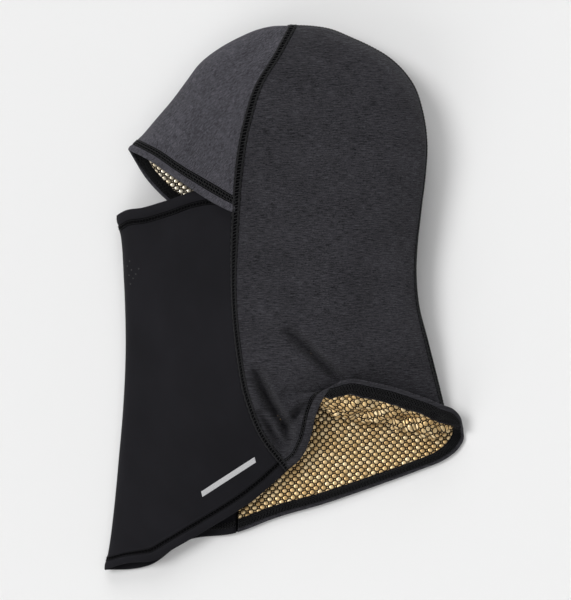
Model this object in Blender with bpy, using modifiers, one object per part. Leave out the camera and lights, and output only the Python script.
"""Ski balaclava lying on its right side, lightly filled, as separate sewn pieces.

Run with: blender --background --python part.py

Frame: metres, +X to the back of the head, +Y to the crown, +Z up from the surface
that it lies on.  The origin is the bottom centre of the bounding box.

The cloth is one closed sleeve.  A place on it is (row, turn): row runs from 0 at the
crown to 1 at the neck hem, and turn is the angle round the sleeve, 0 at the back fold
and pi at the front fold over the upper (left) layer, then on to 2 pi underneath.
"""
import math

import bmesh
import bpy
import numpy as np
from mathutils import Matrix, Vector
from mathutils.bvhtree import BVHTree

MM = 0.001

# Cloth and thread.
PANEL_THICKNESS = 0.9 * MM
HEM_THICKNESS = 1.6 * MM
LINING_THICKNESS = 0.4 * MM
THREAD_THICKNESS = 0.35 * MM
SEAM_THICKNESS = 0.6 * MM
GAP = 0.3 * MM
SEAM_HALF_WIDTH = 2.6 * MM
SEAM_GAP = 0.6 * MM
HEM_LINES = [14.5 * MM, 12.0 * MM, 9.0 * MM, 5.5 * MM, 0.0]
HEM_ROWS = len(HEM_LINES) - 1
SLOWEST_HEM = 0.33
MASK_TUCK = 4.0 * MM
MARK_LENGTH = 50.0 * MM
MARK_HEIGHT = 6.0 * MM
MARK_THICKNESS = 0.3 * MM

# Rows where the cloth changes.
CROWN_ROW = 0.012
SIDE_ROW = 0.026
MOUTH_ROW = 0.78
CREASE = 0.62

# Columns of a side panel's mesh as shares of the way from the back to the face seam,
# closer where the cuff turns and next to the back fold.
SIDE_COLUMNS = [0, 0.05, 0.12, 0.21, 0.31, 0.42, 0.53, 0.63, 0.72, 0.78, 0.82, 0.85, 0.88,
                0.91, 0.95, 1]

# The cuff hides its own hem where it turns: the looper cover ends at one column of the
# left side panel, the needle stitch starts at the other, and the lining ends some rows early.
COVER_COLUMNS = slice(0, 9)
STITCH_COLUMNS = slice(12, None)
CUFF_LINING_ROWS = 2

# Rows and columns of the left side panel that the care label lies against.
LABEL_ROWS = slice(7, 11)
LABEL_COLUMNS = slice(3, 6)

# Rows from the mouth row to the first hem line, closer round the cuff's turn.
CURL_ROWS = [0, 0.19, 0.37, 0.51, 0.6, 0.69, 0.78, 0.88]

# Outline of the sleeve seen from above, crown first: (x, y) in millimetres.
FRONT_OUTLINE = [
    (6, 213), (-9, 213), (-22, 210), (-36, 204), (-52, 195), (-66, 184), (-76, 171),
    (-88, 155), (-100, 141), (-113, 126), (-122, 117), (-130, 92), (-131.5, 65),
    (-128.5, 48), (-126.5, 17), (-125, -28), (-127, -85), (-131, -131),
]
BACK_OUTLINE = [
    (6, 213), (20, 212.5), (36, 210), (52, 203.5), (66, 197), (81, 188), (91, 179),
    (101, 165), (107, 147), (110.5, 119), (109.5, 99), (106, 68), (103, 40),
    (102.5, 17), (104.5, -4), (112, -32),
]

# Height of the folds and fullness of each layer along the sleeve: (row, value in mm).
BACK_FOLD_HEIGHT = [(0, 26), (0.2, 29), (0.45, 29), (0.65, 23), (0.78, 17)]
FRONT_FOLD_HEIGHT = [(0, 26), (0.2, 25), (0.34, 20), (0.46, 11), (0.6, 8), (0.78, 7)]
UPPER_FULLNESS = [(0, 0), (0.03, 5.5), (0.08, 13), (0.16, 23), (0.28, 31), (0.42, 31),
                  (0.6, 26), (0.78, 22)]
LOWER_DEPTH = [(0, 0), (0.03, 6), (0.08, 16), (0.16, 34), (0.28, 46), (0.6, 46), (1, 40)]
FRONT_TAPER = 0.42
EDGE_ROUNDNESS = 0.45
FLOOR_BLEND = 5.5 * MM

# Rows of the mouth on the upper layer: (place, x, y, z) in millimetres, where place
# goes from 0 at the back fold to 1 at the front fold.
MOUTH_START = [
    (0, 112, -32, 17), (0.1, 99, -35, 31), (0.2, 79, -36, 37), (0.34, 47, -39, 40),
    (0.5, 9, -48, 37), (0.6, -19, -64, 33), (0.7, -47, -86, 28), (0.8, -76, -105, 23),
    (0.9, -104, -122, 17.5), (0.98, -127, -130, 13), (1, -131, -131, 7),
]
CREASE_LINE = [
    (0, 127, -91, 8.5), (0.02, 125.5, -97, 12), (0.05, 122, -103, 13.5),
    (0.1, 114, -107, 14), (0.18, 100, -101, 15), (0.26, 84, -97, 15), (0.34, 66, -94, 15),
    (0.41, 48, -92, 16), (0.46, 28, -84, 22), (0.5, 9, -72, 30), (0.54, -2, -84, 31),
    (0.58, -9, -103, 27), (0.64, -22, -119, 23), (0.7, -40, -135, 20), (0.8, -69, -158, 18),
    (0.9, -100, -178, 15.5), (0.98, -132, -190, 12), (1, -137.5, -191, 6),
]
UPPER_HEM = [
    (0, 140.5, -102, 10), (0.03, 138, -93, 13), (0.06, 132.5, -87, 17),
    (0.1, 123, -83, 23), (0.18, 107, -76.5, 29), (0.26, 88, -70, 33),
    (0.34, 69, -65.5, 36), (0.42, 50.5, -63, 37), (0.46, 41, -66, 36),
    (0.5, 31.5, -75, 33), (0.53, 24.5, -90, 28), (0.56, 19, -112, 21),
    (0.58, 12.5, -125, 18), (0.6, 3, -133.5, 16), (0.7, -25, -158, 14.5),
    (0.8, -57, -178.5, 14), (0.88, -90, -197.5, 14), (0.93, -104, -205.5, 13),
    (0.97, -125, -207.5, 12.5), (0.99, -135, -210.5, 11), (1, -141.5, -213, 6),
]
LOWER_HEM = [
    (0, 140.5, -102), (0.04, 141, -110.5), (0.08, 136, -119), (0.13, 125.5, -127),
    (0.2, 106, -135), (0.3, 73, -147), (0.42, 32, -161), (0.55, -6, -172),
    (0.66, -38, -184), (0.8, -79, -191), (0.9, -106, -209.5), (0.96, -125, -213),
    (1, -141.5, -213),
]
LOWER_HEM_LIFT = 3.0 * MM
CUFF_TURN = 68.0 * MM

# Pattern lines seen from above, in millimetres.  A face seam is x at each y; the hems
# of the face opening are y at each x.
LEFT_FACE_SEAM = [
    (-150, 13), (-132, 1), (-111, -15), (-79, -28.5), (-39, -36), (5, -39.5),
    (61, -38), (93, -36), (136, -29), (167, -19), (190, -5), (213, 7),
]
RIGHT_FACE_SEAM = [
    (-190, -37.5), (-140, -37), (-90, -39), (-40, -40), (5, -39.5), (61, -38),
    (93, -36), (136, -29), (167, -19), (190, -5), (213, 7),
]
UPPER_BROW_HEM = [(-135, 124), (-122, 117), (-105, 108), (-88.5, 96.5), (-72, 85.5),
                  (-57, 76), (-41, 68), (-20, 62)]
LOWER_BROW_HEM = [(-135, 140), (-122, 117), (-112, 99.5), (-100, 85), (-90, 76),
                  (-65, 65), (-38, 58), (-20, 56)]
UPPER_MASK_TOP = [(-140, 60), (-131.5, 65), (-127, 67.5), (-110.5, 70.5), (-91.5, 76),
                  (-73, 82), (-55, 84.5), (-38, 82), (-20, 80)]
LOWER_MASK_TOP = [(-140, 60), (-131.5, 65), (-110.5, 67), (-91.5, 71), (-73, 76),
                  (-55, 78), (-38, 76), (-20, 75)]
FACE_LIFT_LINE = [(-125 * MM, 90 * MM), (-40 * MM, 68 * MM)]
FACE_LIFT = 3.5 * MM
FACE_LIFT_REACH = 60.0 * MM
MARK_START = (-66.0 * MM, -153.0 * MM)
MARK_SLANT = math.radians(33.0)


def spline(table, place):
    """Smooth values through a table whose first column is the place."""
    table = np.asarray(table, float)
    knots, values = table[:, 0], table[:, 1:]
    place = np.asarray(place, float)
    step = np.diff(knots)
    slope = np.diff(values, axis=0) / step[:, None]
    share = (step[:-1] / (step[:-1] + step[1:]))[:, None]
    tangent = np.vstack([slope[:1], slope[1:] * share + slope[:-1] * (1 - share), slope[-1:]])
    index = np.clip(np.searchsorted(knots, place, side="right") - 1, 0, len(step) - 1)
    width = step[index][..., None]
    s = (place - knots[index])[..., None] / width
    inside = (2 * s**3 - 3 * s**2 + 1) * values[index] + (3 * s**2 - 2 * s**3) * values[index + 1]
    inside += (s**3 - 2 * s**2 + s) * width * tangent[index]
    inside += (s**3 - s**2) * width * tangent[index + 1]
    before = values[0] + (s * width) * tangent[0]
    after = values[-1] + (s - 1) * width * tangent[-1]
    return np.where(s < 0, before, np.where(s > 1, after, inside))


def height(table, place):
    return spline(table, place)[..., 0] * MM


def smoothstep(value):
    value = np.clip(value, 0, 1)
    return value * value * (3 - 2 * value)


def outline(points, part):
    """Point at a share of the outline's own length."""
    points = np.asarray(points, float)
    length = np.concatenate([[0], np.cumsum(np.linalg.norm(np.diff(points, axis=0), axis=1))])
    return spline(np.column_stack([length / length[-1], points]), part) * MM


def mouth_row(table, turn):
    """Points of a mouth row: plan by the share of the width, height by the angle."""
    table = np.asarray(table, float)
    angle = np.arccos(1 - 2 * table[:, 0])
    place = (1 - np.cos(turn)) / 2
    plan = spline(table[:, :3], place)
    if table.shape[1] == 3:
        return plan * MM
    rise = spline(np.column_stack([angle, table[:, 3]]), turn)
    return np.concatenate([plan, rise], axis=-1) * MM


def crossing(below_zero, low, high):
    """Where a falling function reaches zero between low and high, for arrays."""
    for _ in range(30):
        middle = (low + high) / 2
        past = below_zero(middle) < 0
        high = np.where(past, middle, high)
        low = np.where(past, low, middle)
    return (low + high) / 2


def plain_upper(row, turn):
    place = ((1 - np.cos(turn)) / 2)[..., None]
    back = outline(BACK_OUTLINE, row / MOUTH_ROW)
    front = outline(FRONT_OUTLINE, row / MOUTH_ROW)
    plan = back * (1 - place) + front * place
    place = place[..., 0]
    fold = height(BACK_FOLD_HEIGHT, row) * (1 - place) + height(FRONT_FOLD_HEIGHT, row) * place
    fullness = height(UPPER_FULLNESS, row) * (1 - FRONT_TAPER * place)
    rise = fullness * np.sin(turn) * (1 + EDGE_ROUNDNESS * np.cos(turn) ** 2)
    return np.concatenate([plan, (fold + rise)[..., None]], axis=-1)


def cuff_share(turn):
    place = (1 - np.cos(turn)) / 2
    return (0.35 + 0.65 * smoothstep(place / 0.1)) * (1 - smoothstep((place - 0.4) / 0.1))


def hermite(start, end, leave, arrive, s):
    s = s[..., None]
    level = (2 * s**3 - 3 * s**2 + 1) * start + (3 * s**2 - 2 * s**3) * end
    return level + (s**3 - 2 * s**2 + s) * leave + (s**3 - s**2) * arrive


def mouth(row, turn):
    """The last stretch of the upper layer, which turns outward as a cuff at the back."""
    start = mouth_row(MOUTH_START, turn)
    crease = mouth_row(CREASE_LINE, turn)
    hem = mouth_row(UPPER_HEM, turn)
    probe = 0.002
    at_mouth = np.full_like(turn, MOUTH_ROW)
    leave = plain_upper(at_mouth, turn) - plain_upper(at_mouth - probe, turn)
    leave = leave / probe * (1 - MOUTH_ROW)
    through = (crease - start) / CREASE * (1 - CREASE) + (hem - crease) / (1 - CREASE) * CREASE
    place = (1 - np.cos(turn)) / 2
    falling = (1 - smoothstep((place - 0.43) / 0.07))[..., None]
    through = through * (1 - falling) + (crease - start) / CREASE * falling
    upward = np.zeros_like(through)
    upward[..., 2] = CUFF_TURN
    share = cuff_share(turn)[..., None]
    turning = through * (1 - share) + upward * share
    arrive = (hem - crease) * 1.25
    arrive[..., 2] *= 1 - 0.75 * share[..., 0]
    s = (row - MOUTH_ROW) / (1 - MOUTH_ROW)
    first = hermite(start, crease, leave * CREASE, turning * CREASE, s / CREASE)
    second = hermite(crease, hem, turning * (1 - CREASE), arrive, (s - CREASE) / (1 - CREASE))
    return np.where((s < CREASE)[..., None], first, second)


def upper(row, turn):
    hood_row = np.minimum(row, MOUTH_ROW)
    hood = plain_upper(hood_row, turn)
    at_mouth = np.full_like(turn, MOUTH_ROW)
    change = mouth_row(MOUTH_START, turn) - plain_upper(at_mouth, turn)
    hood = hood + change * smoothstep((hood_row - 0.3) / (MOUTH_ROW - 0.3))[..., None]
    return np.where((row > MOUTH_ROW)[..., None], mouth(np.maximum(row, MOUTH_ROW), turn), hood)


def floor(level):
    """Never below the surface that the cloth lies on, with a soft bend into it."""
    bend = (level + FLOOR_BLEND) ** 2 / (4 * FLOOR_BLEND)
    return np.where(level > FLOOR_BLEND, level, np.where(level < -FLOOR_BLEND, 0, bend))


def face_lift(plan):
    """Small rise of the lower layer round the face opening."""
    start, end = (np.array(point) for point in FACE_LIFT_LINE)
    along = end - start
    share = np.clip(((plan - start) @ along) / (along @ along), 0, 1)
    distance = np.linalg.norm(plan - (start + share[..., None] * along), axis=-1)
    return FACE_LIFT * smoothstep(1 - distance / FACE_LIFT_REACH)


def lower(row, turn):
    place = ((1 - np.cos(turn)) / 2)[..., None]
    ends = [upper(row, np.full_like(turn, angle)) for angle in (0.0, math.pi)]
    point = ends[0] * (1 - place) + ends[1] * place
    last = np.ones_like(row)
    hem_ends = [upper(last, np.full_like(turn, angle))[..., :2] for angle in (0.0, math.pi)]
    change = mouth_row(LOWER_HEM, turn) - (hem_ends[0] * (1 - place) + hem_ends[1] * place)
    point[..., :2] += change * smoothstep((row - 0.35) / 0.65)[..., None]
    depth = height(LOWER_DEPTH, row) * (1 - 0.25 * place[..., 0])
    level = floor(point[..., 2] - depth * np.sin(turn))
    inner = np.sqrt(np.clip(np.sin(turn), 0, 1))
    level = level + LOWER_HEM_LIFT * smoothstep((row - 0.86) / 0.14) * inner
    point[..., 2] = level + face_lift(point[..., :2]) * smoothstep(np.sin(turn) * 3)
    return point


def surface(row, turn):
    """Outer face of the cloth."""
    row, turn = np.broadcast_arrays(np.asarray(row, float), np.asarray(turn, float))
    turn = np.mod(turn, 2 * math.pi)
    under = turn > math.pi
    folded = np.where(under, 2 * math.pi - turn, turn)
    return np.where(under[..., None], lower(row, folded), upper(row, folded))


def turn_speed(row, turn):
    probe = 0.02
    change = surface(row, turn + probe) - surface(row, turn - probe)
    return np.linalg.norm(change, axis=-1) / (2 * probe)


def normals(row, turn):
    """Unit vectors that point out of the sleeve."""
    row_probe, turn_probe = 0.003, 0.02
    later = np.minimum(row + row_probe, 1.0)
    down = surface(later, turn) - surface(later - 2 * row_probe, turn)
    around = surface(row, turn + turn_probe) - surface(row, turn - turn_probe)
    out = np.cross(around, down)
    return out / np.linalg.norm(out, axis=-1)[..., None]


def trace_face_seam(under):
    """Turn of a face seam at evenly spaced rows, as a table to read from."""
    rows = np.linspace(0.004, 1, 160)
    table = RIGHT_FACE_SEAM if under else LEFT_FACE_SEAM
    layer = lower if under else upper

    def past_seam(turn):
        point = layer(rows, turn)
        return point[..., 0] - height(table, point[..., 1] / MM)

    found = crossing(past_seam, np.zeros_like(rows), np.full_like(rows, math.pi))
    return rows, 2 * math.pi - found if under else found


FACE_SEAM_TURNS = {under: trace_face_seam(under) for under in (False, True)}


def seam_turn(row, under):
    """Turn of the face seam on the upper layer, or on the lower one."""
    return np.interp(row, *FACE_SEAM_TURNS[under])


def seam_step(row, turn, distance):
    return np.minimum(distance / np.maximum(turn_speed(row, turn), 1e-6), 0.6)


def hem_rows(row, turn, distances, toward):
    """Rows that lie at distances square to a hem, on the side given by toward."""
    edge = surface(row, turn)
    along = np.gradient(edge, axis=0)
    along /= np.linalg.norm(along, axis=-1)[:, None]
    probe = 0.003
    down = (surface(row + toward * probe, turn) - edge) / probe
    speed = np.maximum(np.linalg.norm(np.cross(down, along), axis=-1), SLOWEST_HEM)
    return [row + toward * distance / speed for distance in distances]


def side_grid(under):
    """Rows and turns of a side panel, from the back seam to the face seam."""
    columns = np.array(SIDE_COLUMNS)
    hood = np.linspace(SIDE_ROW, 0.43, 10)[:-1]
    neck = np.linspace(0.43, MOUTH_ROW, 8)[:-1]
    last = np.ones_like(columns)

    def turns(row):
        back = seam_step(row, np.zeros_like(row), SEAM_HALF_WIDTH + SEAM_GAP)
        if under:
            back = 2 * math.pi - back
        face = seam_turn(row, under)
        face = face + (1 if under else -1) * seam_step(row, face, SEAM_HALF_WIDTH + SEAM_GAP)
        return back + (face - back) * columns

    hems = hem_rows(last, turns(last), HEM_LINES, -1)
    plain = [np.full_like(columns, row) for row in np.concatenate([hood, neck])]
    curl = [MOUTH_ROW + (hems[0] - MOUTH_ROW) * share for share in CURL_ROWS]
    rows = np.array(plain + curl + hems)
    return rows, np.array([turns(row) for row in rows])


def front_turns(row, columns):
    """Turns across the front of the sleeve, from the left seam round to the right one."""
    left, right = seam_turn(row, False), seam_turn(row, True)
    left = left + seam_step(row, left, SEAM_HALF_WIDTH + SEAM_GAP)
    right = right - seam_step(row, right, SEAM_HALF_WIDTH + SEAM_GAP)
    return left + (right - left) * columns


def front_edge(columns, upper_line, lower_line):
    """Row of a hem of the face opening in each column."""

    def past_line(row):
        turn = front_turns(row, columns)
        point = surface(row, turn)
        x, y = point[..., 0] / MM, point[..., 1]
        return y - np.where(turn <= math.pi, height(upper_line, x), height(lower_line, x))

    return crossing(past_line, np.full_like(columns, 0.1), np.full_like(columns, 0.7))


def front_columns():
    half = np.sin(np.linspace(0, math.pi / 2, 9)) / 2
    return np.concatenate([half, 1 - half[-2::-1]])


def brow_grid():
    columns = front_columns()
    edge = front_edge(columns, UPPER_BROW_HEM, LOWER_BROW_HEM)
    hems = hem_rows(edge, front_turns(edge, columns), HEM_LINES, -1)
    shares = np.linspace(0, 1, 11)[:-1] ** 1.15
    rows = [CROWN_ROW + (hems[0] - CROWN_ROW) * share for share in shares] + hems
    rows = np.array(rows)
    return rows, np.array([front_turns(row, columns) for row in rows])


def mask_grid():
    columns = front_columns()
    top = front_edge(columns, UPPER_MASK_TOP, LOWER_MASK_TOP)
    last = np.ones_like(columns)
    top_hems = hem_rows(top, front_turns(top, columns), HEM_LINES[::-1], 1)
    neck_hems = hem_rows(last, front_turns(last, columns), HEM_LINES, -1)
    shares = np.linspace(0, 1, 15)[1:-1]
    middle = [top_hems[-1] + (neck_hems[0] - top_hems[-1]) * share for share in shares]
    rows = np.array(top_hems + middle + neck_hems)
    return rows, np.array([front_turns(row, columns) for row in rows])


def mask_tuck(points, under):
    """How far the mask runs inside the sleeve, behind the brow hem."""
    x = points[..., 0] / MM
    line = np.where(under, height(LOWER_BROW_HEM, x), height(UPPER_BROW_HEM, x))
    below = line - points[..., 1]
    return MASK_TUCK * (1 - smoothstep((below - 3 * MM) / (24 * MM)))


def material(name, color, roughness, metallic=0.0):
    made = bpy.data.materials.new(name)
    made.use_nodes = True
    shader = made.node_tree.nodes["Principled BSDF"]
    shader.inputs["Base Color"].default_value = (*color, 1.0)
    shader.inputs["Roughness"].default_value = roughness
    shader.inputs["Metallic"].default_value = metallic
    return made


def face_mesh(points):
    """Triangles over a grid of points, facing out of the sleeve."""
    build = bmesh.new()
    rows, columns = points.shape[:2]
    verts = [[build.verts.new(points[i, j]) for j in range(columns)] for i in range(rows)]
    for i in range(rows - 1):
        for j in range(columns - 1):
            build.faces.new((verts[i][j], verts[i + 1][j + 1], verts[i + 1][j]))
            build.faces.new((verts[i][j], verts[i][j + 1], verts[i + 1][j + 1]))
    build.normal_update()
    return build


def sheet(name, points, made, thickness, hem_lines=None):
    """Solid cloth from a grid of points on its outer face; hem lines are full thickness."""
    build = face_mesh(points)
    mesh = bpy.data.meshes.new(name)
    build.to_mesh(mesh)
    build.free()
    mesh.shade_smooth()
    made_object = bpy.data.objects.new(name, mesh)
    bpy.data.collections["Balaclava"].objects.link(made_object)
    mesh.materials.append(made)
    solid = made_object.modifiers.new("Cloth thickness", "SOLIDIFY")
    solid.thickness = thickness
    solid.offset = -1.0
    if hem_lines is not None:
        rows, columns = points.shape[:2]
        group = made_object.vertex_groups.new(name="Thickness")
        thin = PANEL_THICKNESS / thickness
        for i in range(rows):
            indices = list(range(i * columns, (i + 1) * columns))
            group.add(indices, 1.0 if i in hem_lines else thin, "REPLACE")
        solid.vertex_group = group.name
    return made_object


def panel_face(grid, under=False, tuck=False):
    """Outer points of a panel and the directions out of it, as two grids."""
    rows, turns = grid
    points = surface(rows, turns)
    if tuck:
        points = points - normals(rows, turns) * mask_tuck(points, turns > math.pi)[..., None]
    if under:
        points = points[:, ::-1]
    build = face_mesh(points)
    out = np.array([vertex.normal[:] for vertex in build.verts]).reshape(points.shape)
    build.free()
    return points, out


def layer(face, distance, rows=slice(None), columns=slice(None)):
    """Part of a panel's face moved out of the sleeve by a distance."""
    points, out = face
    return (points + out * distance)[rows, columns]


def seam_rows():
    rows, _ = side_grid(False)
    return rows[:, 0]


def face_seam():
    """Flatlock seam from the neck hem over the crown to the other side's neck hem."""
    rows = np.concatenate([[CROWN_ROW, 0.018], seam_rows()])
    halves = []
    for under in (False, True):
        centre = seam_turn(rows, under)
        sign = -1 if under else 1
        half = seam_step(rows, centre, SEAM_HALF_WIDTH)
        crown = 1 + 1.2 * np.clip(1 - rows / SIDE_ROW, 0, 1)
        back_edge = centre - sign * half * crown
        turns = np.stack([back_edge, centre, centre + sign * half], axis=1)
        halves.append(surface(rows[:, None], turns))
    pole = surface(np.zeros(1), np.zeros(1))[0]
    across = np.array([[5.5 * MM, 0, 0], [0, 0, 0], [-SEAM_HALF_WIDTH, 0, 0]])
    points = np.concatenate([halves[0][::-1], (pole + across)[None], halves[1]])
    return points[:, ::-1]


def back_seam():
    rows = np.concatenate([[0.016], seam_rows()])
    half = seam_step(rows, np.zeros_like(rows), SEAM_HALF_WIDTH)
    turns = np.stack([2 * math.pi - half, np.full_like(half, 2 * math.pi), 2 * math.pi + half], 1)
    return surface(rows[:, None], turns)


def transfer_mark(made, panel):
    """Plain slanted bar that follows the face of the mask."""
    bpy.context.view_layer.update()
    evaluated = panel.evaluated_get(bpy.context.evaluated_depsgraph_get())
    tree = BVHTree.FromPolygons(
        [vertex.co.copy() for vertex in evaluated.data.vertices],
        [tuple(face.vertices) for face in evaluated.data.polygons])
    along = Vector((math.cos(MARK_SLANT), math.sin(MARK_SLANT), 0))
    across = Vector((-math.sin(MARK_SLANT), math.cos(MARK_SLANT), 0))
    start = Vector((*MARK_START, 0))
    points = []
    for i in range(13):
        share = i / 12
        line = []
        for j in range(3):
            skew = (j - 1) * MARK_HEIGHT / 2
            place = start + along * (share * MARK_LENGTH + 0.35 * skew) + across * skew
            hit = tree.ray_cast(place + Vector((0, 0, 0.2)), Vector((0, 0, -1)))[0]
            line.append(hit + Vector((0, 0, GAP + MARK_THICKNESS + 0.1 * MM)))
        points.append(line)
    return sheet("transfer_mark", np.array(points)[:, ::-1], made, MARK_THICKNESS)


def care_label(made, face):
    """Blank label lying against the left lining beside the back seam."""
    inward = PANEL_THICKNESS + LINING_THICKNESS + 2 * GAP
    return sheet("care_label", layer(face, -inward, LABEL_ROWS, LABEL_COLUMNS), made,
                 LINING_THICKNESS)


def clear_scene():
    for old in list(bpy.data.objects):
        bpy.data.objects.remove(old, do_unlink=True)
    collection = bpy.data.collections.new("Balaclava")
    bpy.context.scene.collection.children.link(collection)
    return collection


def centre_on_base(collection):
    """Move every piece so that the bounding box stands centred on the origin."""
    bpy.context.view_layer.update()
    graph = bpy.context.evaluated_depsgraph_get()
    corners = []
    for piece in collection.objects:
        corners += [vertex.co.copy() for vertex in piece.evaluated_get(graph).data.vertices]
    low = [min(corner[axis] for corner in corners) for axis in range(3)]
    high = [max(corner[axis] for corner in corners) for axis in range(3)]
    shift = Vector((-(low[0] + high[0]) / 2, -(low[1] + high[1]) / 2, -low[2]))
    for piece in collection.objects:
        piece.data.transform(Matrix.Translation(shift))


def hem_pieces(name, face, first, outer, thread, inside=slice(None), outside=slice(None)):
    """Coverstitch of one hem: needle threads outside and the looper band inside.

    first is the grid row where the hem's 12 mm line lies, and outer gives the rows of
    the needle threads past it.  The looper band covers the turned edge inside.  inside and
    outside are the columns that each of the two runs over.
    """
    needles = slice(first + outer[0], first + outer[1] + 1)
    sheet(name + "_stitch", layer(face, GAP + THREAD_THICKNESS, needles, outside), thread,
          THREAD_THICKNESS)
    looper = slice(first, first + 3)
    sheet(name + "_cover", layer(face, -HEM_THICKNESS - GAP, looper, inside), thread,
          THREAD_THICKNESS)


def build():
    collection = clear_scene()
    heather = material("Heather knit", (0.058, 0.058, 0.062), 0.9)
    black = material("Stretch knit", (0.012, 0.012, 0.014), 0.8)
    foil = material("Dotted foil lining", (0.55, 0.42, 0.2), 0.35, 0.7)
    thread = material("Black thread", (0.008, 0.008, 0.009), 0.75)
    satin = material("Label satin", (0.03, 0.03, 0.03), 0.5)
    white = material("Transfer print", (0.75, 0.75, 0.76), 0.5)
    lining_depth = -PANEL_THICKNESS - GAP

    for side, under in (("left", False), ("right", True)):
        face = panel_face(side_grid(under), under)
        rows = len(face[0])
        hem = rows - HEM_ROWS
        sheet(side + "_side_panel", face[0], heather, HEM_THICKNESS, range(hem, rows))
        lining_end = hem if under else hem - CUFF_LINING_ROWS
        sheet(side + "_side_lining", layer(face, lining_depth, slice(0, lining_end)), foil,
              LINING_THICKNESS)
        if under:
            hem_pieces("right_neck_hem", face, hem, (0, 1), thread)
        else:
            hem_pieces("left_neck_hem", face, hem, (0, 1), thread, COVER_COLUMNS, STITCH_COLUMNS)
            care_label(satin, face)

    face = panel_face(brow_grid())
    rows = len(face[0])
    hem = rows - HEM_ROWS
    sheet("brow_panel", face[0], heather, HEM_THICKNESS, range(hem, rows))
    sheet("brow_lining", layer(face, lining_depth, slice(0, hem)), foil, LINING_THICKNESS)
    hem_pieces("brow_hem", face, hem, (0, 2), thread)

    face = panel_face(mask_grid(), tuck=True)
    rows = len(face[0])
    hem = rows - HEM_ROWS
    hems = list(range(HEM_ROWS)) + list(range(hem, rows))
    mask = sheet("mask_panel", face[0], black, HEM_THICKNESS, hems)
    hem_pieces("mask_neck_hem", face, hem, (0, 1), thread)
    hem_pieces("mask_top_hem", face, 1, (1, 2), thread)
    transfer_mark(white, mask)

    sheet("face_seam", face_seam(), thread, SEAM_THICKNESS)
    sheet("back_seam", back_seam(), thread, SEAM_THICKNESS)
    centre_on_base(collection)


build()
